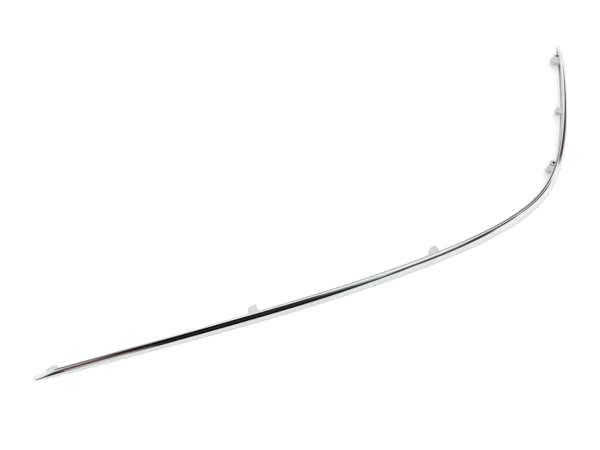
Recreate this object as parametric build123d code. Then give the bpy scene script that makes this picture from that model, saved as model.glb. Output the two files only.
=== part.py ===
"""Chromed bumper trim: one moulded strip with a crowned face and integral clips on its back.

The strip stands on its lower edge. Seen from above it runs almost straight from its front tip,
turns a wide corner and ends in its side tip. Lengths are millimetres and angles degrees.
Distance along the strip is counted from the front tip, on the rear rim.
"""
from build123d import *
import math
import os

# Overall size of the strip
trim_length = 1100.0
trim_height = 15.0
trim_depth = 10.3
wall = 2.3

# Way the strip turns, seen from above: three bends added together
start_heading = 17.3
counter_turn = -9.4
sweep_turn = 45.2
sweep_centre = 730.0
sweep_spread = 400.0
corner_turn = 37.8
corner_centre = 755.0
corner_spread = 75.0

# Taper of the two ends: a long slim lead at the front, and a nose at both tips
lead_length = 290.0
lead_share = 0.64
front_nose = 40.0
front_tip_share = 0.42
side_nose = 60.0
side_tip_share = 0.32
slim_share = 0.35

# Crowned face as control points in shares of depth and height, from the top land to the foot
land_end = (0.289, 0.985)
brow_curve = [(0.467, 0.966), (0.634, 0.915), (0.776, 0.839)]
shoulder_curve = [(0.825, 0.813), (0.864, 0.779), (0.891, 0.741)]
cheek_curve = [(1.057, 0.505), (1.032, 0.227), (0.826, 0.007)]
foot_curve = [(0.800, -0.010), (0.780, -0.020)]
rim_round = 0.8

# Hollow in the back
front_end_wall = 16.0
side_end_wall = 18.0

# Rounding of both tips in plan: radius in half depths, just over one to leave a small flat
tip_disc = 1.025

# Places of the clips: three from the front tip, three back from the side tip
front_tip_clip = 24.5
front_clip = 290.0
middle_clip = 555.0
corner_clip_back = 296.0
side_clip_back = 167.5
side_tip_clip_back = 48.5

# How far the clips reach behind the rear rim
front_tip_reach = 7.0
front_reach = 12.0
side_reach = 10.8
side_tip_reach = 15.5

# Snap clip: a plate on two legs, whose ramps grip the edge of a slot
clip_width = 12.5
front_tip_width = 16.0
clip_plate = 1.8
clip_drop = 4.1
clip_leg = 1.6
clip_root = 3.2
clip_bite = 0.7
slant_share = 0.56
slant_deep = 3.0
neck = 1.2
grip = 1.5
ramp_share = 0.45
lead_in = 0.6
corner_round = 0.8

# Socket lug beside the corner clip and the side tip clip
lug_gap = 1.6
lug_width = 9.6
lug_reach = 8.6
lug_slant = 2.6
lug_deep = 5.9
socket_along = 4.2
socket_wide = 3.6
socket_setback = 0.9
socket_deep = 4.9

# Modelling steps
walk_step = 1.0
station_pitch = 40.0
nose_stations = 5
least_gap = 2.0
below_floor = 1.0


def heading(s):
    """Direction of the strip at distance s, counted from the X axis."""
    sweep = sweep_turn * (1 + math.tanh((s - sweep_centre) / sweep_spread)) / 2
    corner = corner_turn * (1 + math.tanh((s - corner_centre) / corner_spread)) / 2
    return start_heading + counter_turn * s / trim_length + sweep + corner


def walk(s):
    """Point of the rear rim at distance s, found by small steps along the heading."""
    count = max(1, math.ceil(s / walk_step))
    step = s / count
    x = 0.0
    y = 0.0
    for i in range(count):
        angle = math.radians(heading((i + 0.5) * step))
        x += step * math.cos(angle)
        y += step * math.sin(angle)
    return x, y


def nose(distance, length, tip_share):
    """Share of full size at a distance from a tip, rising over the nose length."""
    along = min(distance / length, 1.0)
    return tip_share + (1 - tip_share) * math.sin(math.pi / 2 * along)


def size_share(s):
    """Share of full height at distance s: the slim lead times the noses of both tips."""
    along = min(s / lead_length, 1.0)
    lead = lead_share + (1 - lead_share) * along * along * (3 - 2 * along)
    front = nose(s, front_nose, front_tip_share)
    side = nose(trim_length - s, side_nose, side_tip_share)
    return lead * front * side


def height_at(s):
    return trim_height * size_share(s)


def depth_at(s):
    return trim_depth * (slim_share + (1 - slim_share) * size_share(s))


def section_plane(s):
    """Plane across the strip: local X points out of the face, local Y points up."""
    x, y = walk(s)
    angle = math.radians(heading(s))
    outward = (math.sin(angle), -math.cos(angle), 0)
    back_along = (-math.cos(angle), -math.sin(angle), 0)
    return Plane(origin=(x, y, 0), x_dir=outward, z_dir=back_along)


def clip_plane(s):
    """Plane for a clip: local X runs along the strip, local Y inward, local Z up."""
    x, y = walk(s)
    angle = math.radians(heading(s))
    return Plane(origin=(x, y, 0), x_dir=(math.cos(angle), math.sin(angle), 0), z_dir=(0, 0, 1))


def closed_face(plane, pieces):
    """One face from straight and curved pieces, each given by its control points."""
    edges = [Line(*piece) if len(piece) == 2 else Bezier(*piece) for piece in pieces]
    return plane * Face(Wire(edges))


def face_pieces(deep, tall, base):
    """The three joined curves of the crowned face at a size, as lists of control points."""
    pieces = []
    start = land_end
    for curve in (brow_curve, shoulder_curve, cheek_curve):
        points = [start] + curve
        pieces.append([(out * deep, base + up * tall) for out, up in points])
        start = curve[-1]
    return pieces


def outer_section(s):
    """Section of the full strip; it reaches below the floor, where it is trimmed later."""
    deep = depth_at(s)
    tall = height_at(s)
    edge = rim_round * size_share(s)
    curves = face_pieces(deep, tall, 0)
    foot = [curves[-1][-1]] + [(out * deep, up * tall) for out, up in foot_curve]
    under = (foot[-1][0], -below_floor)
    pieces = [
        [(0, -below_floor), (0, tall - edge)],
        [(0, tall - edge), (0, tall), (edge, tall)],
        [(edge, tall), curves[0][0]],
        *curves,
        foot,
        [foot[-1], under],
        [under, (0, -below_floor)],
    ]
    return closed_face(section_plane(s), pieces)


def hollow_section(s):
    """Section of the open hollow, one wall inside the strip and past its rear plane."""
    curves = face_pieces(depth_at(s) - wall, height_at(s) - 2 * wall, wall)
    ceiling = height_at(s) - wall
    mouth = -wall
    heel = (curves[-1][-1][0], wall)
    pieces = [
        [(mouth, wall), (mouth, ceiling)],
        [(mouth, ceiling), curves[0][0]],
        *curves,
        [curves[-1][-1], heel],
        [heel, (mouth, wall)],
    ]
    return closed_face(section_plane(s), pieces)


def stations(first, last):
    """Distances of the sections: close together in the two noses and even between them."""
    front = [front_nose * i / nose_stations for i in range(nose_stations)]
    side = [trim_length - side_nose * i / nose_stations for i in range(nose_stations)]
    run = trim_length - side_nose - front_nose
    count = math.ceil(run / station_pitch)
    middle = [front_nose + run * i / count for i in range(count + 1)]
    inner = [s for s in front + middle + side if first + least_gap < s < last - least_gap]
    return [first] + sorted(inner) + [last]


def full_strip():
    """Solid strip with its crowned face, cut flat at the floor and rounded at both tips."""
    body = loft([outer_section(s) for s in stations(0, trim_length)])
    side = 3 * trim_length
    body -= Pos(0, 0, -side / 2) * Box(side, side, side)
    return body - tip_rounding(0, 1) - tip_rounding(trim_length, -1)


def tip_rounding(s, into):
    """What is cut off a tip to round it in plan; into is the way back along the strip."""
    deep = depth_at(s)
    half = deep / 2
    tall = 2 * trim_height
    block = Pos(0, -half, 0) * Box(deep, 2 * deep, tall)
    disc = Pos(into * half, -half, 0) * Cylinder(tip_disc * half, tall)
    return clip_plane(s) * (block - disc)


def hollow():
    first = front_end_wall
    last = trim_length - side_end_wall
    return loft([hollow_section(s) for s in stations(first, last)])


def plate(outline, top, thick):
    """Flat plate under the height top, its corners rounded except the two inside the wall."""
    face = make_face(Polyline(*outline, close=True))
    corners = [corner for corner in face.vertices() if corner.Y > 0]
    return Pos(0, 0, top - thick) * extrude(fillet(corners, corner_round), thick)


def leg(x, reach, top):
    """Upright rib under a plate: narrow neck at the wall, ramp to grip, slanted lead-in."""
    high = top - clip_plate / 2
    under = top - clip_plate
    low = under - clip_drop
    ramp_end = grip + ramp_share * (reach - lead_in - grip)
    side = [
        (-clip_root, high),
        (reach, high),
        (reach, under - neck),
        (reach - lead_in, low),
        (ramp_end, low),
        (grip, under - neck),
        (-clip_root, under - neck),
    ]
    face = Plane(origin=(x - clip_leg / 2, 0, 0), x_dir=(0, 1, 0), z_dir=(1, 0, 0))
    return extrude(face * make_face(Polyline(*side, close=True)), clip_leg)


def clip(top, width, reach, side):
    """Snap clip; side says which end of its edge slants back, +1 towards the side tip."""
    near = -side * width / 2
    far = side * width / 2
    outline = [
        (near, -clip_root),
        (near, reach),
        (far - side * slant_share * width, reach),
        (far, reach - slant_deep),
        (far, -clip_root),
    ]
    inset = side * clip_leg / 2
    near_leg = leg(near + inset, reach - corner_round, top)
    far_leg = leg(far - inset, reach - slant_deep, top)
    return plate(outline, top, clip_plate) + near_leg + far_leg


def lug(top):
    """Lug beside a clip, towards the side tip, with a blind socket for a locating pin."""
    first = clip_width / 2 + lug_gap
    last = first + lug_width
    outline = [
        (first, -clip_root),
        (first, lug_reach),
        (last - lug_slant, lug_reach),
        (last, lug_reach - lug_slant),
        (last, -clip_root),
    ]
    middle = (first + last) / 2
    socket = Box(socket_along, socket_wide, 2 * socket_deep)
    return plate(outline, top, lug_deep) - Pos(middle, socket_setback + socket_wide / 2, top) * socket


def clip_places():
    """Distance, width, reach, slanting side and lug of each clip along the strip."""
    return [
        (front_tip_clip, front_tip_width, front_tip_reach, -1, False),
        (front_clip, clip_width, front_reach, -1, False),
        (middle_clip, clip_width, front_reach, -1, False),
        (trim_length - corner_clip_back, clip_width, side_reach, 1, True),
        (trim_length - side_clip_back, clip_width, side_reach, 1, False),
        (trim_length - side_tip_clip_back, clip_width, side_tip_reach, 1, True),
    ]


def clip_top(s):
    """Top of a clip or lug at distance s, let a little way into the top wall."""
    return height_at(s) - wall + clip_bite


def clips():
    """Every clip, each set under the top wall at its own place."""
    made = []
    for s, width, reach, side, with_lug in clip_places():
        body = clip(clip_top(s), width, reach, side)
        if with_lug:
            body += lug(clip_top(s + width / 2 + lug_gap + lug_width / 2))
        made.append(clip_plane(s) * body)
    return made


def trim_moulding():
    """The whole moulding, centred on the Z axis and standing on the floor."""
    body = full_strip() - hollow()
    for piece in clips():
        body += piece
    box = body.bounding_box()
    return Pos(-(box.min.X + box.max.X) / 2, -(box.min.Y + box.max.Y) / 2, 0) * body


os.makedirs("parts", exist_ok=True)
export_step(trim_moulding(), "parts/trim_moulding.step")
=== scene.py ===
"""Looks of the chromed bumper trim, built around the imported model.

The strip's skin and its clips are worked out with numpy in millimetres, in the strip's own frame,
and moved to the model's frame in metres. A stage with a white floor and a light tent shows them.
"""
import math

import bpy
import numpy as np
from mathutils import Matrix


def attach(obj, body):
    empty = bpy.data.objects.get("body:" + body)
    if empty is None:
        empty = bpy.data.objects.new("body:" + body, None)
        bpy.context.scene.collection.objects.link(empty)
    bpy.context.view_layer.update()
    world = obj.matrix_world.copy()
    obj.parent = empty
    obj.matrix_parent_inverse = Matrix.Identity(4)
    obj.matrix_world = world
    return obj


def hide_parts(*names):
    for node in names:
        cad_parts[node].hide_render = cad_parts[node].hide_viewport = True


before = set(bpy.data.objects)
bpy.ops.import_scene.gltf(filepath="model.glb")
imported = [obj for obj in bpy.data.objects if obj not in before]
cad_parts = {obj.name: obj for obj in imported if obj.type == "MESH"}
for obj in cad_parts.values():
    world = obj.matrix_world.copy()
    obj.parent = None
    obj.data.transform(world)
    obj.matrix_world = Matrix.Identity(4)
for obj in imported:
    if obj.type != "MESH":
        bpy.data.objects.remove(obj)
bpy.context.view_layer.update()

bl_info = {
    "name": "Bumper Chrome Trim",
    "version": (1, 0, 0),
    "blender": (4, 5, 0),
    "location": "View3D > Sidebar > Trim",
    "description": "Builds a chromed bumper trim moulding with its clips, and a stage for it",
    "category": "Mesh",
}

NODE = "trim_moulding"
SLOT = "chrome_plating"
MM = 0.001

# Front tip of the rear rim in the model's frame, millimetres
RIM_START = (-383.72, -316.42)

# Way the strip turns: start, even turn over the length, and two bends (turn, centre, spread)
START_HEADING = 17.3
EVEN_TURN = -9.4
BENDS = ((45.2, 730.0, 400.0), (37.8, 755.0, 75.0))

# Share of full height along the strip
LEAD = (290.0, 0.64)
FRONT_NOSE = (40.0, 0.42)
SIDE_NOSE = (60.0, 0.32)
SLIM_SHARE = 0.35

# Marks along the rim whose steps are summed up to place it
RIM_MARKS = 11001

# Crowned face as control points in shares of depth and height
LAND_END = (0.289, 0.985)
BROW = (LAND_END, (0.467, 0.966), (0.634, 0.915), (0.776, 0.839))
SHOULDER = (BROW[-1], (0.825, 0.813), (0.864, 0.779), (0.891, 0.741))
CHEEK = (SHOULDER[-1], (1.057, 0.505), (1.032, 0.227), (0.826, 0.007))

# Last points of the foot, in the same shares
FOOT = ((0.818, 0.002), (0.806, 0.0))

# Points on brow, shoulder and cheek: outside, and on the inner wall
OUTER_STEPS = (12, 8, 20)
INNER_STEPS = (6, 4, 10)

# Full size that the shares of the rim and of the tips refer to, millimetres
FULL_HEIGHT = 15.0
FULL_DEPTH = 10.3
RIM_ROUND = 0.8
RIM_STEPS = 7

# Small edge of the foot and of the hollow's mouth, full where the strip is at least so high
FINE_EDGE = 0.3
FINE_EDGE_HEIGHT = 12.0

# Round tips: angle at which the first row starts, rows, and height of the rounding on top
TIP_START = math.radians(9)
TIP_ROWS = 16
TIP_TOP = 1.3

# Hollow in the back: distance of its end walls from the tips, and length of the step there
FRONT_END_WALL = 16.0
SIDE_END_WALL = 18.0
END_WALL_STEP = 0.12

# Clip sizes, millimetres
CLIP_ROOT = 3.2
CLIP_BITE = 0.7
CLIP_LEG = 1.6
LEG_SETBACK = 0.8
SLANT_SHARE = 0.56
SLANT_DEEP = 3.0
NECK = 1.2
GRIP = 1.5
RAMP_SHARE = 0.45
LEAD_IN = 0.6
LUG_GAP = 1.6
LUG_WIDTH = 9.6
LUG_REACH = 8.6
LUG_SLANT = 2.6
LUG_DEEP = 5.9

# Socket of a lug: along the strip, across it, distance from the wall, and how deep it goes down
SOCKET_ALONG = 4.2
SOCKET_WIDE = 3.6
SOCKET_SETBACK = 0.9
SOCKET_DEEP = 4.9

# How far outside the socket's outline a point may lie and still count as in it
SOCKET_MARGIN = 0.06

# Rounding of plates and legs, and points round a plate and over each rounding
CORNER_POWER = 22.0
PLATE_STEPS = 112
PLATE_EDGE = 0.35
PLATE_EDGE_STEPS = 5
LEG_EDGE = 0.22
LEG_EDGE_STEPS = 3

# Rings on the flat of a plate, in shares of its outline
INNER_RING = 0.35
OUTER_RING = 0.7

# Edges sharper than this, in degrees, stay sharp in the shading or get a round edge
STRIP_SHARP = 38
CLIP_SHARP = 32
LEG_SHARP = 20

# Floor in metres: a hair under the part, and half its side
FLOOR_LEVEL = -0.00005
FLOOR_HALF = 12.0

# Camera: sensor width in millimetres, nearest and farthest distance in metres
SENSOR = 36.0
NEAREST = 0.05
FARTHEST = 60.0

# Plating: smears, grain and ripples per metre, height of the grain, and tint of the smears
SMEARS = 55.0
GRAIN = 900.0
RIPPLES = 38.0
GRAIN_HEIGHT = 0.000003
SMEAR_TINT = 0.955

# Noise values between which the tint and the roughness change, and how far the roughness goes
# from its middle on the face and on the back
TINT_RANGE = (0.35, 0.65)
ROUGH_RANGE = (0.3, 0.7)
FACE_SPREAD = (0.6, 1.4)
BACK_SPREAD = (0.85, 1.15)

# Least share of its half width that a tapering panel keeps, and the softness of the cut that
# keeps a panel to its own half of the sky
LEAST_TAPER = 0.15
HALF_SKY_SOFT = 0.05

# Tones of the tent
CLOTH = (1.03, 1.06, 1.07)
BRIGHT_CLOTH = (1.10, 1.10, 1.10)
LAMP = (1.22, 1.22, 1.22)
BLACK = (0.0, 0.0, 0.0)
CHARCOAL = (0.03, 0.03, 0.03)
SLATE = (0.10, 0.08, 0.08)
GREY = (0.28, 0.26, 0.26)
MAROON = (0.08, 0.03, 0.04)
RUST = (0.20, 0.07, 0.06)

# Tent: panels round the strip, later ones in front of earlier ones. Each has its place (azimuth,
# elevation, tilt) and its half length and half width in degrees, its edge (power of the oval,
# softness, taper along its length), and its tone.
TENT = {
    "right_wall": ((96, 11, 13), (46.0, 35.5), (3.0, 0.4, 0.0), BRIGHT_CLOTH),
    "rear_lamp": ((186, 54, 88), (30.0, 13.0), (2.5, 0.4, 0.0), LAMP),
    "rear_gap": ((163, 43, 5), (6.0, 4.0), (2.0, 0.4, -0.1), BLACK),
    "rear_flag": ((187, 27, 78), (17.5, 8.0), (1.6, 0.1, 0.2), SLATE),
    "rear_left_flag": ((218, 65, 29), (11.5, 4.5), (1.6, 0.4, 0.2), SLATE),
    "front_opening": ((2.5, 23.5, 12), (65.0, 10.5), (3.4, 0.2, 0.1), CHARCOAL),
    "front_right_opening": ((29, 30.5, -8), (47.0, 11.0), (3.3, 0.2, 0.3), BLACK),
    "top_flag": ((26, 74.5, -24), (17.5, 13.0), (3.8, 0.4, -0.1), CHARCOAL),
    "front_red_cloth": ((3, 64, 0), (16.0, 3.5), (2.0, 0.3, 0.0), RUST),
    "zenith_flag": ((112, 85, 0), (8.5, 12.0), (4.8, 0.1, 0.4), BLACK),
    "right_top_flag": ((47.5, 49, 1), (8.5, 6.5), (3.7, 0.2, 0.7), CHARCOAL),
    "corner_flag": ((72, 54, -126), (7.5, 13.5), (2.0, 0.1, -0.4), SLATE),
    "corner_top_flag": ((108, 59, 91), (14.5, 5.0), (1.6, 0.4, 0.4), BLACK),
    "corner_card": ((126, 49, 111), (8.0, 7.5), (2.5, 0.2, 0.4), SLATE),
    "side_flag": ((153, 49.5, 8), (10.5, 4.5), (1.6, 0.2, -0.7), CHARCOAL),
    "side_card": ((167, 60.5, 120), (11.5, 3.0), (2.3, 0.1, -0.2), GREY),
    "side_opening": ((133, 30.5, -37), (16.5, 5.0), (1.6, 0.4, -0.7), MAROON),
    "low_side_opening": ((132, 19.5, -39), (11.5, 3.0), (3.8, 0.3, -0.3), SLATE),
    "left_opening": ((305, 21, 0), (23.5, 5.5), (5.0, 0.1, 0.0), CHARCOAL),
    "far_left_opening": ((262, 14, 90), (17.5, 6.5), (4.0, 0.2, 0.0), SLATE),
    "rear_slit": ((215, 20, 0), (16.0, 3.0), (4.0, 0.2, 0.0), SLATE),
}

# Side that the soft light leans to: azimuth and elevation
LIGHT_FROM = (62.0, 15.0)

# Painted shade inside the sockets: a near-black colour, not metal, that stands in for the shade in
# the deep holes, and its gloss
SOCKET_PAINTED_SHADE = (0.012, 0.012, 0.013)
SOCKET_SHADE_GLOSS = 0.1

# Clips: distance along the strip, width over the usual one, reach, end of the edge that slants,
# and whether a socket lug stands beside it
CLIPS = (
    ("front_tip_clip", 24.5, 1.28, 7.0, -1, False),
    ("front_clip", 290.0, 1.0, 12.0, -1, False),
    ("middle_clip", 555.0, 1.0, 12.0, -1, False),
    ("corner_clip", 804.0, 1.0, 10.8, 1, True),
    ("side_clip", 932.5, 1.0, 10.8, 1, False),
    ("side_tip_clip", 1051.5, 1.0, 15.5, 1, True),
)


class TrimStripSettings(bpy.types.PropertyGroup):
    length: bpy.props.FloatProperty(
        name="Length", description="Length along the rear rim", default=1.1, unit="LENGTH")
    height: bpy.props.FloatProperty(
        name="Height", description="Height of the strip in its middle", default=0.015,
        unit="LENGTH", precision=4)
    depth: bpy.props.FloatProperty(
        name="Depth", description="Depth of the strip in its middle", default=0.0103,
        unit="LENGTH", precision=4)
    wall: bpy.props.FloatProperty(
        name="Wall", description="Wall thickness round the hollow", default=0.0023,
        unit="LENGTH", precision=4)
    pitch: bpy.props.FloatProperty(
        name="Pitch", description="Distance between two rows of the skin", default=0.0018,
        unit="LENGTH", precision=4)


class TrimClipSettings(bpy.types.PropertyGroup):
    width: bpy.props.FloatProperty(
        name="Width", description="Width of a clip along the strip", default=0.0125,
        unit="LENGTH", precision=4)
    plate: bpy.props.FloatProperty(
        name="Plate", description="Thickness of a clip's plate", default=0.0018,
        unit="LENGTH", precision=4)
    drop: bpy.props.FloatProperty(
        name="Drop", description="Height of a clip's legs under its plate", default=0.0041,
        unit="LENGTH", precision=4)


class TrimChromeSettings(bpy.types.PropertyGroup):
    colour: bpy.props.FloatVectorProperty(
        name="Colour", description="Tint of the plating", default=(0.80, 0.81, 0.81),
        subtype="COLOR", size=3, min=0, max=1)
    face_roughness: bpy.props.FloatProperty(
        name="Face roughness", description="Roughness of the polished face", default=0.012,
        subtype="FACTOR", min=0, max=1)
    back_roughness: bpy.props.FloatProperty(
        name="Back roughness", description="Roughness of the back and the clips", default=0.42,
        subtype="FACTOR", min=0, max=1)
    ripple: bpy.props.FloatProperty(
        name="Ripple", description="Height of the long ripples in the face", default=0.000012,
        unit="LENGTH", precision=6)


class TrimStageSettings(bpy.types.PropertyGroup):
    floor_colour: bpy.props.FloatVectorProperty(
        name="Floor colour", description="Colour of the floor", default=(0.90, 0.90, 0.90),
        subtype="COLOR", size=3, min=0, max=1)
    seen_lift: bpy.props.FloatProperty(
        name="Seen lift", description="Glow that lifts the seen floor to white",
        default=0.33, min=0)
    mirrored_lift: bpy.props.FloatProperty(
        name="Mirrored lift", description="Glow that lifts the mirrored floor",
        default=0.05, min=0)
    tent: bpy.props.FloatProperty(
        name="Tent", description="Brightness of the tent in the plating", default=1.0, min=0)
    sky: bpy.props.FloatProperty(
        name="Sky", description="Brightness of the soft light on everything", default=0.92, min=0)
    lean: bpy.props.FloatProperty(
        name="Lean", description="How much more of the soft light comes from the front right",
        default=0.85, min=0, max=1)
    camera_place: bpy.props.FloatVectorProperty(
        name="Camera", description="Place of the camera",
        default=(-0.0493, -0.9762, 1.0863), subtype="XYZ", unit="LENGTH", size=3)
    camera_tilt: bpy.props.FloatProperty(
        name="Tilt", description="Angle that the camera looks down", default=math.radians(50),
        subtype="ANGLE")
    camera_lens: bpy.props.FloatProperty(
        name="Lens", description="Focal length in millimetres", default=60.06)


def heading(s, length):
    """Angle of the strip in radians: a start angle, an even turn, and two tanh bends."""
    angle = START_HEADING + EVEN_TURN * s / length
    for turn, centre, spread in BENDS:
        angle = angle + turn * (1 + np.tanh((s - centre) / spread)) / 2
    return np.radians(angle)


def rim_points(s, length):
    """Rear rim at distances s: running sums of the heading's cosine and sine in fine steps."""
    marks = np.linspace(0, length, RIM_MARKS)
    middle = heading((marks[1:] + marks[:-1]) / 2, length)
    step = marks[1] - marks[0]
    x = np.concatenate([[0], np.cumsum(np.cos(middle))]) * step
    y = np.concatenate([[0], np.cumsum(np.sin(middle))]) * step
    return RIM_START[0] + np.interp(s, marks, x), RIM_START[1] + np.interp(s, marks, y)


def size_share(s, length):
    """Share of full height: a smooth step over the lead times a quarter sine in each nose."""
    along = np.clip(s / LEAD[0], 0, 1)
    lead = LEAD[1] + (1 - LEAD[1]) * along * along * (3 - 2 * along)
    share = lead
    for distance, (reach, tip) in ((s, FRONT_NOSE), (length - s, SIDE_NOSE)):
        share = share * (tip + (1 - tip) * np.sin(np.pi / 2 * np.clip(distance / reach, 0, 1)))
    return share


def cubic(points, count):
    """Cubic curve through its four control points, sampled evenly without its first point."""
    t = np.linspace(0, 1, count + 1)[1:, None]
    p = np.array(points)
    return ((1 - t) ** 3 * p[0] + 3 * (1 - t) ** 2 * t * p[1]
            + 3 * (1 - t) * t ** 2 * p[2] + t ** 3 * p[3])


def crown_shares(brow, shoulder, cheek):
    """Crowned face from the land's end to the foot, in shares of depth and height."""
    return np.vstack([
        [LAND_END], cubic(BROW, brow), cubic(SHOULDER, shoulder), cubic(CHEEK, cheek)])


def rounded_turn(place, arriving, leaving, radius, count=4):
    """Quarter arc that replaces a square corner of a loop, for every station at once.

    It starts one radius before the corner and ends one radius after it: the centre, less the
    leaving direction times a cosine, plus the arriving direction times a sine.
    """
    t = np.linspace(0, np.pi / 2, count)[None, :, None]
    place = np.stack(place, -1)
    radius = radius[:, :, None]
    arriving = np.array(arriving)
    leaving = np.array(leaving)
    centre = place - radius * arriving + radius * leaving
    return centre - radius * leaving * np.cos(t) + radius * arriving * np.sin(t)


def between(first, last, count):
    """Evenly spaced points strictly between two points, for every station at once."""
    t = np.linspace(0, 1, count + 2)[None, 1:-1, None]
    return first[:, None] * (1 - t) + last[:, None] * t


def scaled(shares, deep, tall, base=0.0):
    """Points in shares of depth and height made millimetres at every station."""
    return np.stack([shares[None, :, 0] * deep, base + shares[None, :, 1] * tall], -1)


def section_loops(deep, tall, wall, opened):
    """Closed section of every station as points (n out of the face, z up), and the back's share.

    The loop runs from the rear foot up the rear wall, through the hollow where it is open, round
    the rim, over the land and the crown down to the foot, and back along the floor.
    """
    zero = 0 * tall
    fine = FINE_EDGE * np.minimum(1, tall / FINE_EDGE_HEIGHT)
    rim = RIM_ROUND * tall / FULL_HEIGHT
    inner_deep = deep - wall
    inner_tall = tall - 2 * wall
    inner = scaled(crown_shares(*INNER_STEPS)[::-1], inner_deep, inner_tall, wall)
    low = rounded_turn((zero, zero + wall), (0, 1), (1, 0), fine)
    high = rounded_turn((zero, tall - wall), (-1, 0), (0, 1), fine)
    heel = np.stack([inner[:, 0, 0], zero[:, 0] + wall], -1)
    inside = np.concatenate([
        low, between(low[:, -1], heel, 3), heel[:, None], inner,
        between(inner[:, -1], high[:, 0], 1), high], 1)
    count = inside.shape[1]
    rise = fine + (tall - rim - fine) * np.linspace(0, 1, count + 2)[None, 1:-1]
    shut = np.stack([0 * rise, rise], -1)
    outer = scaled(crown_shares(*OUTER_STEPS), deep, tall)
    rear = rounded_turn((zero, zero), (-1, 0), (0, 1), fine)
    top = rounded_turn((zero, tall), (0, 1), (1, 0), rim, RIM_STEPS)
    foot = scaled(np.array(FOOT), deep, tall)
    parts = [
        rear,
        np.where(opened[:, None, None], inside, shut),
        top,
        between(top[:, -1], outer[:, 0], 3),
        outer,
        foot,
        between(foot[:, -1], rear[:, 0], 2),
    ]
    back = np.concatenate([np.full(part.shape[1], share)
                           for part, share in zip(parts, (1, 1, 0, 0, 0, 0, 1))])
    return np.concatenate(parts, 1), back


def strip_stations(length, pitch):
    """Distances of the rows: cosine steps over each round tip, even steps between them."""
    turn = np.linspace(TIP_START, np.pi / 2, TIP_ROWS)
    fronts = []
    for distance in (0.0, length):
        half = FULL_DEPTH / 2 * (SLIM_SHARE + (1 - SLIM_SHARE) * size_share(distance, length))
        fronts.append(half * (1 - np.cos(turn)))
    run = np.linspace(fronts[0][-1], length - fronts[1][-1],
                      int((length - fronts[0][-1] - fronts[1][-1]) / pitch))[1:-1]
    walls = np.array([FRONT_END_WALL, length - SIDE_END_WALL])
    gaps = np.array([-END_WALL_STEP, 0.0])
    extra = np.array([walls[0] + gaps, walls[1] - gaps]).ravel()
    run = run[np.abs(run[:, None] - walls[None, :]).min(1) > 3 * END_WALL_STEP]
    return np.sort(np.concatenate([fronts[0], run, extra, length - fronts[1]]))


def tip_shares(s, length):
    """How far a round tip narrows a row about its middle, and how far it lowers it.

    Both follow a circle: the width one of half the depth, the height one of TIP_TOP millimetres.
    """
    narrow = np.ones_like(s)
    lower = np.ones_like(s)
    for distance, tip in ((s, 0.0), (length - s, length)):
        tip_share = size_share(tip, length)
        half = FULL_DEPTH / 2 * (SLIM_SHARE + (1 - SLIM_SHARE) * tip_share)
        tall = FULL_HEIGHT * size_share(s, length)
        along = np.clip(distance / half, 0, 1)
        narrow = narrow * np.sqrt(np.clip(1 - (1 - along) ** 2, 0.0, 1))
        along = np.clip(distance / TIP_TOP, 0, 1)
        lower = lower * (1 - TIP_TOP / tall * (1 - np.sqrt(1 - (1 - along) ** 2)))
    return narrow, lower


def strip_mesh(length, height, depth, wall, pitch):
    """Skin of the strip: the section loop carried along the rim, with a fan closing each tip."""
    s = strip_stations(length, pitch)
    share = size_share(s, length)
    tall = height * share
    deep = depth * (SLIM_SHARE + (1 - SLIM_SHARE) * share)
    half_step = END_WALL_STEP / 2
    opened = (s > FRONT_END_WALL - half_step) & (s < length - SIDE_END_WALL + half_step)
    loops, back = section_loops(deep[:, None], tall[:, None], wall, opened)
    narrow, lower = tip_shares(s, length)
    half = deep[:, None] / 2
    out = half + (loops[..., 0] - half) * narrow[:, None]
    up = loops[..., 1] * lower[:, None]
    angle = heading(s, length)[:, None]
    x, y = rim_points(s, length)
    points = np.stack([x[:, None] + out * np.sin(angle), y[:, None] - out * np.cos(angle), up], -1)
    rows, columns = points.shape[:2]
    ends = np.stack([points[0].mean(0), points[-1].mean(0)])
    everything = np.concatenate([points.reshape(-1, 3), ends])
    shares = np.concatenate([np.tile(back, rows), [0, 0]])
    return everything * MM, tube_faces(rows, columns), shares


def mesh_object(name, points, faces):
    """Smooth mesh object at the origin, from points in metres and lists of corner numbers."""
    mesh = bpy.data.meshes.new(name)
    mesh.from_pydata(points.tolist(), [], faces)
    mesh.update()
    piece = bpy.data.objects.new(name, mesh)
    bpy.context.scene.collection.objects.link(piece)
    return piece


def soften(piece, angle):
    """Shades a piece smooth, except across edges sharper than the angle in degrees."""
    mesh = piece.data
    mesh.polygons.foreach_set("use_smooth", np.ones(len(mesh.polygons), bool))
    mesh.set_sharp_from_angle(angle=math.radians(angle))
    mesh.update()


def mark(piece, name, shares):
    """Stores a share for every point: back for the duller back, socket_shade for the painted shade
    inside the sockets.
    """
    made = piece.data.attributes.new(name, "FLOAT", "POINT")
    made.data.foreach_set("value", np.asarray(shares, np.float32))


def tube_faces(rows, columns):
    """Faces of a grid whose columns close on themselves, and a fan over each of its two ends.

    Two more points are expected after the grid: the middles of the first and the last fan.
    """
    i = np.arange(rows - 1)[:, None] * columns
    j = np.arange(columns)[None, :]
    after = (j + 1) % columns
    quads = np.stack([i + j, i + after, i + columns + after, i + columns + j], -1)
    middle = rows * columns
    j = j[0]
    after = after[0]
    last = middle - columns
    first_fan = np.stack([np.full(columns, middle), after, j], -1)
    last_fan = np.stack([np.full(columns, middle + 1), last + j, last + after], -1)
    return quads.reshape(-1, 4).tolist() + first_fan.tolist() + last_fan.tolist()


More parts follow.
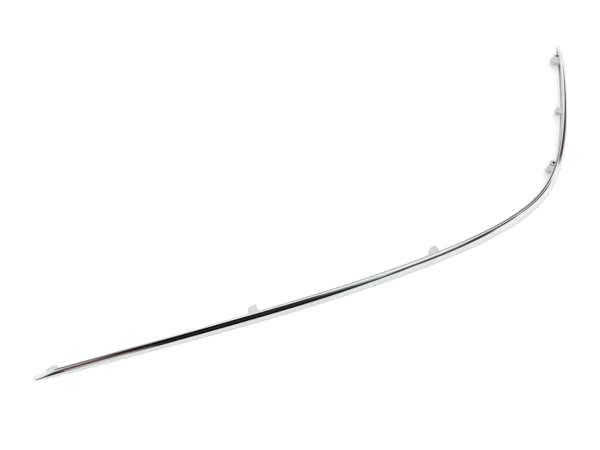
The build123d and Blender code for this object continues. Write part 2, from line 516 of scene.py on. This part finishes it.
def rounded_outline(turn, corners, middle):
    """Distance from a middle point to a convex outline with soft corners, at each angle.

    Every straight edge allows the distance d / (n . direction); the distances are joined by a
    high power mean, which rounds the corners.
    """
    corners = np.array(corners, float) - middle
    edges = np.roll(corners, -1, 0) - corners
    normals = np.stack([edges[:, 1], -edges[:, 0]], -1)
    normals /= np.linalg.norm(normals, axis=1)[:, None]
    distances = (normals * corners).sum(1)
    normals = normals * np.sign(distances)[:, None]
    directions = np.stack([np.cos(turn), np.sin(turn)], -1)
    closeness = np.clip(directions @ normals.T, 0, None) / np.abs(distances)
    return (closeness ** CORNER_POWER).sum(1) ** (-1 / CORNER_POWER)


def plate_mesh(corners, top, thick, socket=None):
    """Flat plate with round edges: rings of its outline from the top middle round to the bottom.

    With a socket the rings start on the socket's floor and climb its own rounded outline. The
    ring radius is the outline times a, plus the socket times b, plus c.
    """
    turn = -np.linspace(0, 2 * np.pi, PLATE_STEPS, endpoint=False)
    middle = np.mean(corners if socket is None else socket, 0)
    outline = rounded_outline(turn, corners, middle)
    inner = 0 * outline if socket is None else rounded_outline(turn, socket, middle)
    bend = np.linspace(0, np.pi / 2, PLATE_EDGE_STEPS)
    edge = PLATE_EDGE
    low = top - thick
    if socket is None:
        start = top
        table = [(INNER_RING, 0, 0, top), (OUTER_RING, 0, 0, top)]
    else:
        start = top - SOCKET_DEEP
        table = [(0, 0.5, 0, start), (0, 1, 0, start), (0, 1, 0, start + edge),
                 (0, 1, 0, top - 3 * edge)]
        table += [(0, 1, edge * (1 - math.cos(a)), top - edge * (1 - math.sin(a))) for a in bend]
        table += [(0.5, 0.5, 0, top)]
    table += [(1, 0, -edge * (1 - math.sin(a)), top - edge * (1 - math.cos(a))) for a in bend]
    table += [(1, 0, -edge * (1 - math.cos(a)), low + edge * (1 - math.sin(a))) for a in bend]
    table += [(OUTER_RING, 0, 0, low), (INNER_RING, 0, 0, low)]
    a, b, c, z = np.array(table).T[:, :, None]
    radius = a * outline + b * inner + c
    points = np.stack([middle[0] + radius * np.cos(turn), middle[1] + radius * np.sin(turn),
                       z + 0 * radius], -1).reshape(-1, 3)
    points = np.concatenate([points, [[*middle, start], [*middle, low]]])
    return points, tube_faces(len(table), PLATE_STEPS)


def leg_mesh(x, thick, reach, top, plate, drop):
    """Upright rib under a plate: a side outline with a ramp and a slanted lead-in, made thick."""
    high = top - plate / 2
    under = top - plate
    low = under - drop
    ramp = GRIP + RAMP_SHARE * (reach - LEAD_IN - GRIP)
    side = np.array([
        (-CLIP_ROOT, high), (reach, high), (reach, under - NECK), (reach - LEAD_IN, low),
        (ramp, low), (GRIP, under - NECK), (-CLIP_ROOT, under - NECK)])
    count = len(side)
    left = np.column_stack([np.full(count, x - thick / 2), side])
    right = np.column_stack([np.full(count, x + thick / 2), side])
    k = np.arange(count)
    after = (k + 1) % count
    sides = np.stack([k, k + count, after + count, after], -1).tolist()
    return np.concatenate([left, right]), sides + [k.tolist(), (k[::-1] + count).tolist()]


def clip_shells(reach, side, top, width, plate, drop):
    """Plate and legs of one clip in its own frame: X along the strip, Y inward, Z up."""
    near = -side * width / 2
    far = side * width / 2
    corners = [(near, -CLIP_ROOT), (near, reach), (far - side * SLANT_SHARE * width, reach),
               (far, reach - SLANT_DEEP), (far, -CLIP_ROOT)]
    inset = side * CLIP_LEG / 2
    return [plate_mesh(corners, top, plate)], [
        leg_mesh(near + inset, CLIP_LEG, reach - LEG_SETBACK, top, plate, drop),
        leg_mesh(far - inset, CLIP_LEG, reach - SLANT_DEEP, top, plate, drop)]


def lug_shell(first, top):
    """Block of a lug that begins at first along the strip, with its blind socket."""
    last = first + LUG_WIDTH
    corners = [(first, -CLIP_ROOT), (first, LUG_REACH), (last - LUG_SLANT, LUG_REACH),
               (last, LUG_REACH - LUG_SLANT), (last, -CLIP_ROOT)]
    left = (first + last - SOCKET_ALONG) / 2
    right = (first + last + SOCKET_ALONG) / 2
    back = SOCKET_SETBACK
    socket = [(left, back), (left, back + SOCKET_WIDE), (right, back + SOCKET_WIDE), (right, back)]
    return plate_mesh(corners, top, LUG_DEEP, socket)


def in_socket(points, first, top):
    """1 for points inside the socket of a lug that begins at first, and 0 elsewhere."""
    aside = np.abs(points[:, 0] - first - LUG_WIDTH / 2) < SOCKET_ALONG / 2 + SOCKET_MARGIN
    middle = SOCKET_SETBACK + SOCKET_WIDE / 2
    across = np.abs(points[:, 1] - middle) < SOCKET_WIDE / 2 + SOCKET_MARGIN
    return (aside & across & (points[:, 2] < top - PLATE_EDGE / 2)).astype(float)


def settle(piece):
    """Replaces a piece's mesh by what its modifiers make of it, and removes them."""
    graph = bpy.context.evaluated_depsgraph_get()
    mesh = bpy.data.meshes.new_from_object(piece.evaluated_get(graph))
    piece.modifiers.clear()
    piece.data = mesh


def join_shells(name, plates, legs):
    """One closed piece from overlapping shells: the legs get round edges, then all are united."""
    shells = []
    for points, faces in plates + legs:
        shell = mesh_object(name + "_shell", points * MM, faces)
        if len(shells) >= len(plates):
            bevel = shell.modifiers.new("Round edges", "BEVEL")
            bevel.width = LEG_EDGE * MM
            bevel.segments = LEG_EDGE_STEPS
            bevel.angle_limit = math.radians(LEG_SHARP)
            settle(shell)
        shells.append(shell)
    piece = shells[0]
    piece.name = name
    for shell in shells[1:]:
        union = piece.modifiers.new("Unite", "BOOLEAN")
        union.operation = "UNION"
        union.solver = "EXACT"
        union.object = shell
    settle(piece)
    for shell in shells[1:]:
        bpy.data.objects.remove(shell)
    piece.data.name = name
    return piece


def place_clip(piece, s, length):
    """Moves a clip from its own frame to its place on the rim; gives its points in that frame."""
    mesh = piece.data
    points = np.zeros(3 * len(mesh.vertices))
    mesh.vertices.foreach_get("co", points)
    points = points.reshape(-1, 3) / MM
    angle = float(heading(s, length))
    x, y = rim_points(s, length)
    placed = np.column_stack([
        x + points[:, 0] * math.cos(angle) - points[:, 1] * math.sin(angle),
        y + points[:, 0] * math.sin(angle) + points[:, 1] * math.cos(angle),
        points[:, 2]])
    mesh.vertices.foreach_set("co", placed.ravel() * MM)
    mesh.update()
    return points


class Graph:
    """Short ways to add nodes to a node tree; every value given is a number or a socket."""

    def __init__(self, tree):
        self.tree = tree
        tree.nodes.clear()

    def node(self, kind, **settings):
        made = self.tree.nodes.new(kind)
        for name, value in settings.items():
            setattr(made, name, value)
        return made

    def feed(self, socket, value):
        if isinstance(value, bpy.types.NodeSocket):
            self.tree.links.new(value, socket)
        else:
            socket.default_value = value

    def math(self, operation, a, b=0.0):
        made = self.node("ShaderNodeMath", operation=operation)
        self.feed(made.inputs[0], a)
        self.feed(made.inputs[1], b)
        return made.outputs[0]

    def dot(self, vector, axis):
        made = self.node("ShaderNodeVectorMath", operation="DOT_PRODUCT")
        self.feed(made.inputs[0], vector)
        made.inputs[1].default_value = axis
        return made.outputs["Value"]

    def ramp(self, value, low, high, first=0.0, last=1.0):
        """Smooth step from first at low to last at high."""
        made = self.node("ShaderNodeMapRange", interpolation_type="SMOOTHSTEP")
        for socket, entry in zip(made.inputs, (value, low, high, first, last)):
            self.feed(socket, entry)
        return made.outputs[0]

    def mix(self, share, a, b):
        made = self.node("ShaderNodeMix", data_type="RGBA")
        self.feed(made.inputs[0], share)
        self.feed(made.inputs[6], a)
        self.feed(made.inputs[7], b)
        return made.outputs[2]

    def bump(self, height, distance, normal=None):
        made = self.node("ShaderNodeBump")
        made.inputs["Strength"].default_value = 1.0
        self.feed(made.inputs["Height"], height)
        self.feed(made.inputs["Distance"], distance)
        if normal is not None:
            self.feed(made.inputs["Normal"], normal)
        return made.outputs[0]

    def noise(self, vector, scale, detail, rough=0.5):
        made = self.node("ShaderNodeTexNoise")
        self.feed(made.inputs["Vector"], vector)
        made.inputs["Scale"].default_value = scale
        made.inputs["Detail"].default_value = detail
        made.inputs["Roughness"].default_value = rough
        return made.outputs["Fac"]


def chrome_material(settings):
    """Plated plastic: a metal mirror on the face, duller on the back, and near-black painted shade
    inside the sockets.

    It is the model's own material of that slot with new nodes. Long faint ripples of the moulding
    bend the mirror, and a fine grain bends it on the back. Smears from wiping change the tint and
    the roughness of the face a little.
    """
    material = bpy.data.materials.get(SLOT) or bpy.data.materials.new(SLOT)
    material.use_nodes = True
    graph = Graph(material.node_tree)
    place = graph.node("ShaderNodeTexCoord").outputs["Object"]
    back = graph.node("ShaderNodeAttribute", attribute_name="back").outputs["Fac"]
    socket_shade = graph.node("ShaderNodeAttribute", attribute_name="socket_shade").outputs["Fac"]
    shader = graph.node("ShaderNodeBsdfPrincipled")
    # Inside the sockets the surface is not metal, so the painted shade there stays dark
    graph.feed(shader.inputs["Metallic"], graph.math("SUBTRACT", 1.0, socket_shade))
    shader.inputs["Specular IOR Level"].default_value = SOCKET_SHADE_GLOSS
    smears = graph.noise(place, SMEARS, 4.0, 0.6)
    tint = tuple(settings.colour)
    smeared = tuple(part * SMEAR_TINT for part in tint)
    plated = graph.mix(graph.ramp(smears, *TINT_RANGE), (*smeared, 1), (*tint, 1))
    # Near-black colour inside the sockets: painted shade of the deep holes
    graph.feed(shader.inputs["Base Color"], graph.mix(socket_shade, plated, (*SOCKET_PAINTED_SHADE, 1)))
    grain = graph.noise(place, GRAIN, 3.0)
    polish = [settings.face_roughness * share for share in FACE_SPREAD]
    dull = [settings.back_roughness * share for share in BACK_SPREAD]
    rough = graph.node("ShaderNodeMix")
    graph.feed(rough.inputs[0], back)
    graph.feed(rough.inputs[2], graph.ramp(smears, *ROUGH_RANGE, *polish))
    graph.feed(rough.inputs[3], graph.ramp(grain, *ROUGH_RANGE, *dull))
    graph.feed(shader.inputs["Roughness"], rough.outputs[0])
    rippled = graph.bump(graph.noise(place, RIPPLES, 1.0), settings.ripple)
    grained = graph.bump(grain, graph.math("MULTIPLY", back, GRAIN_HEIGHT), rippled)
    graph.feed(shader.inputs["Normal"], grained)
    graph.feed(graph.node("ShaderNodeOutputMaterial").inputs["Surface"], shader.outputs[0])
    return material


def floor_material(settings):
    """White floor that keeps shadows: a matt colour, lifted to white where it is only seen."""
    material = bpy.data.materials.new("studio_floor")
    material.use_nodes = True
    graph = Graph(material.node_tree)
    matt = graph.node("ShaderNodeBsdfDiffuse")
    matt.inputs["Color"].default_value = (*settings.floor_colour, 1)
    seen = graph.node("ShaderNodeLightPath")
    glow = graph.node("ShaderNodeEmission")
    graph.feed(glow.inputs["Strength"], graph.math(
        "ADD", graph.math("MULTIPLY", seen.outputs["Is Camera Ray"], settings.seen_lift),
        graph.math("MULTIPLY", seen.outputs["Is Glossy Ray"], settings.mirrored_lift)))
    both = graph.node("ShaderNodeAddShader")
    graph.feed(both.inputs[0], matt.outputs[0])
    graph.feed(both.inputs[1], glow.outputs[0])
    graph.feed(graph.node("ShaderNodeOutputMaterial").inputs["Surface"], both.outputs[0])
    return material


def toward(azimuth, elevation):
    """Unit direction: azimuth from the camera's side (-Y) towards +X, elevation above the floor."""
    a = math.radians(azimuth)
    e = math.radians(elevation)
    return np.array([math.sin(a) * math.cos(e), -math.cos(a) * math.cos(e), math.sin(e)])


def tent_panel(graph, view, place, size, edge):
    """Soft panel of the tent: 1 inside an oval round a direction and 0 outside.

    The direction's components along and across the panel are divided by its half sizes, and a
    power mean of the two is the distance from its middle, 1 at its edge. The half size across
    grows along the panel by the taper.
    """
    azimuth, elevation, tilt = place
    along_size, across_size = (math.sin(math.radians(angle)) for angle in size)
    power, soft, taper = edge
    middle = toward(azimuth, elevation)
    up = toward(azimuth, elevation + 90)
    beside = np.cross(middle, up)
    turn = math.radians(tilt)
    along = math.cos(turn) * up + math.sin(turn) * beside
    across = math.cos(turn) * beside - math.sin(turn) * up
    climb = graph.dot(view, tuple(along / along_size))
    growth = graph.math("ADD", graph.math("MULTIPLY", climb, taper), 1.0)
    width = graph.math("MAXIMUM", growth, LEAST_TAPER)
    aside = graph.math("DIVIDE", graph.dot(view, tuple(across / across_size)), width)
    total = 0.0
    for part in (climb, aside):
        part = graph.math("ABSOLUTE", part)
        total = graph.math("ADD", graph.math("POWER", part, power), total)
    distance = graph.math("POWER", total, 1 / power)
    inside = graph.ramp(distance, 1 - soft, 1 + soft, 1.0, 0.0)
    ahead = graph.ramp(graph.dot(view, tuple(middle)), 0.0, HALF_SKY_SOFT)
    return graph.math("MULTIPLY", inside, ahead)


def tent_world(settings):
    """Light tent that the plating mirrors, an even light on all else, and a white background."""
    world = bpy.data.worlds.new("tent")
    bpy.context.scene.world = world
    world.use_nodes = True
    graph = Graph(world.node_tree)
    view = graph.node("ShaderNodeTexCoord").outputs["Generated"]
    colour = (*CLOTH, 1.0)
    for place, size, edge, tone in TENT.values():
        colour = graph.mix(tent_panel(graph, view, place, size, edge), colour, (*tone, 1.0))
    seen = graph.node("ShaderNodeLightPath")
    tent = graph.node("ShaderNodeBackground")
    graph.feed(tent.inputs["Color"], colour)
    tent.inputs["Strength"].default_value = settings.tent
    plain = graph.node("ShaderNodeBackground")
    lean = toward(*LIGHT_FROM) * settings.lean
    share = graph.math("ADD", graph.dot(view, tuple(lean)), 1.0)
    level = graph.math("MULTIPLY", share, settings.sky)
    level = graph.math("MAXIMUM", seen.outputs["Is Camera Ray"], level)
    graph.feed(plain.inputs["Strength"], level)
    plain.inputs["Color"].default_value = (1, 1, 1, 1)
    both = graph.node("ShaderNodeMixShader")
    graph.feed(both.inputs[0], seen.outputs["Is Glossy Ray"])
    graph.feed(both.inputs[1], plain.outputs[0])
    graph.feed(both.inputs[2], tent.outputs[0])
    graph.feed(graph.node("ShaderNodeOutputWorld").inputs["Surface"], both.outputs[0])


def finish_piece(piece, angle):
    """Shades a piece, gives it the plating, ties it to the model's body, and hides the model's
    node.
    """
    soften(piece, angle)
    piece.data.materials.clear()
    piece.data.materials.append(bpy.data.materials[SLOT])
    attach(piece, "root")
    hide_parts(NODE)


class TRIM_OT_plating(bpy.types.Operator):
    """Makes the chrome material"""
    bl_idname = "trim.plating"
    bl_label = "Chrome plating"

    def execute(self, context):
        chrome_material(context.scene.trim_chrome)
        return {"FINISHED"}


class TRIM_OT_strip(bpy.types.Operator):
    """Builds the skin of the moulded strip"""
    bl_idname = "trim.strip"
    bl_label = "Strip"

    def execute(self, context):
        sizes = context.scene.trim_strip
        points, faces, back = strip_mesh(*(value / MM for value in (
            sizes.length, sizes.height, sizes.depth, sizes.wall, sizes.pitch)))
        piece = mesh_object("moulded_strip", points, faces)
        mark(piece, "back", back)
        # No painted shade on the strip itself
        mark(piece, "socket_shade", 0 * back)
        finish_piece(piece, STRIP_SHARP)
        return {"FINISHED"}


class TRIM_OT_clips(bpy.types.Operator):
    """Builds the snap clips and the socket lugs on the back of the strip"""
    bl_idname = "trim.clips"
    bl_label = "Clips"

    def execute(self, context):
        strip = context.scene.trim_strip
        sizes = context.scene.trim_clips
        length = strip.length / MM
        for name, s, wider, reach, side, lug in CLIPS:
            width = wider * sizes.width / MM
            first = width / 2 + LUG_GAP
            beside = first + LUG_WIDTH / 2
            tops = [strip.height / MM * float(size_share(at, length)) - strip.wall / MM + CLIP_BITE
                    for at in (s, s + beside)]
            plates, legs = clip_shells(
                reach, side, tops[0], width, sizes.plate / MM, sizes.drop / MM)
            if lug:
                plates.append(lug_shell(first, tops[1]))
            piece = join_shells(name, plates, legs)
            points = place_clip(piece, s, length)
            plated = np.zeros(len(points))
            mark(piece, "back", np.ones(len(points)))
            # Points in a lug's socket get the painted shade of the deep hole
            mark(piece, "socket_shade", in_socket(points, first, tops[1]) if lug else plated)
            finish_piece(piece, CLIP_SHARP)
        return {"FINISHED"}


class TRIM_OT_stage(bpy.types.Operator):
    """Builds the floor, the light and the camera"""
    bl_idname = "trim.stage"
    bl_label = "Stage"

    def execute(self, context):
        settings = context.scene.trim_stage
        tent_world(settings)
        corners = np.array([(-1, -1), (1, -1), (1, 1), (-1, 1)]) * FLOOR_HALF
        floor = mesh_object(
            "studio_floor", np.column_stack([corners, np.full(4, FLOOR_LEVEL)]), [[0, 1, 2, 3]])
        floor.data.materials.append(floor_material(settings))
        view = bpy.data.cameras.new("camera")
        view.lens = settings.camera_lens
        view.sensor_width = SENSOR
        view.clip_start = NEAREST
        view.clip_end = FARTHEST
        camera = bpy.data.objects.new("camera", view)
        camera.location = settings.camera_place
        camera.rotation_euler = (math.pi / 2 - settings.camera_tilt, 0, 0)
        context.scene.collection.objects.link(camera)
        context.scene.camera = camera
        context.scene.view_settings.view_transform = "Standard"
        return {"FINISHED"}


class TRIM_PT_panel(bpy.types.Panel):
    """Sizes and colours of the trim, and the buttons that build it"""
    bl_label = "Bumper chrome trim"
    bl_idname = "TRIM_PT_panel"
    bl_space_type = "VIEW_3D"
    bl_region_type = "UI"
    bl_category = "Trim"

    def draw(self, context):
        for name in SETTINGS:
            group = getattr(context.scene, name)
            box = self.layout.box()
            for entry in group.__annotations__:
                box.prop(group, entry)
        for operator in OPERATORS:
            self.layout.operator(operator.bl_idname)


SETTINGS = {
    "trim_strip": TrimStripSettings,
    "trim_clips": TrimClipSettings,
    "trim_chrome": TrimChromeSettings,
    "trim_stage": TrimStageSettings,
}
OPERATORS = (TRIM_OT_plating, TRIM_OT_strip, TRIM_OT_clips, TRIM_OT_stage)
CLASSES = (*SETTINGS.values(), *OPERATORS, TRIM_PT_panel)


def register():
    for made in CLASSES:
        bpy.utils.register_class(made)
    for name, group in SETTINGS.items():
        setattr(bpy.types.Scene, name, bpy.props.PointerProperty(type=group))


def unregister():
    for name in SETTINGS:
        delattr(bpy.types.Scene, name)
    for made in reversed(CLASSES):
        bpy.utils.unregister_class(made)


def main():
    """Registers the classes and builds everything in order."""
    register()
    bpy.ops.trim.plating()
    bpy.ops.trim.strip()
    bpy.ops.trim.clips()
    bpy.ops.trim.stage()


if __name__ == "__main__":
    main()
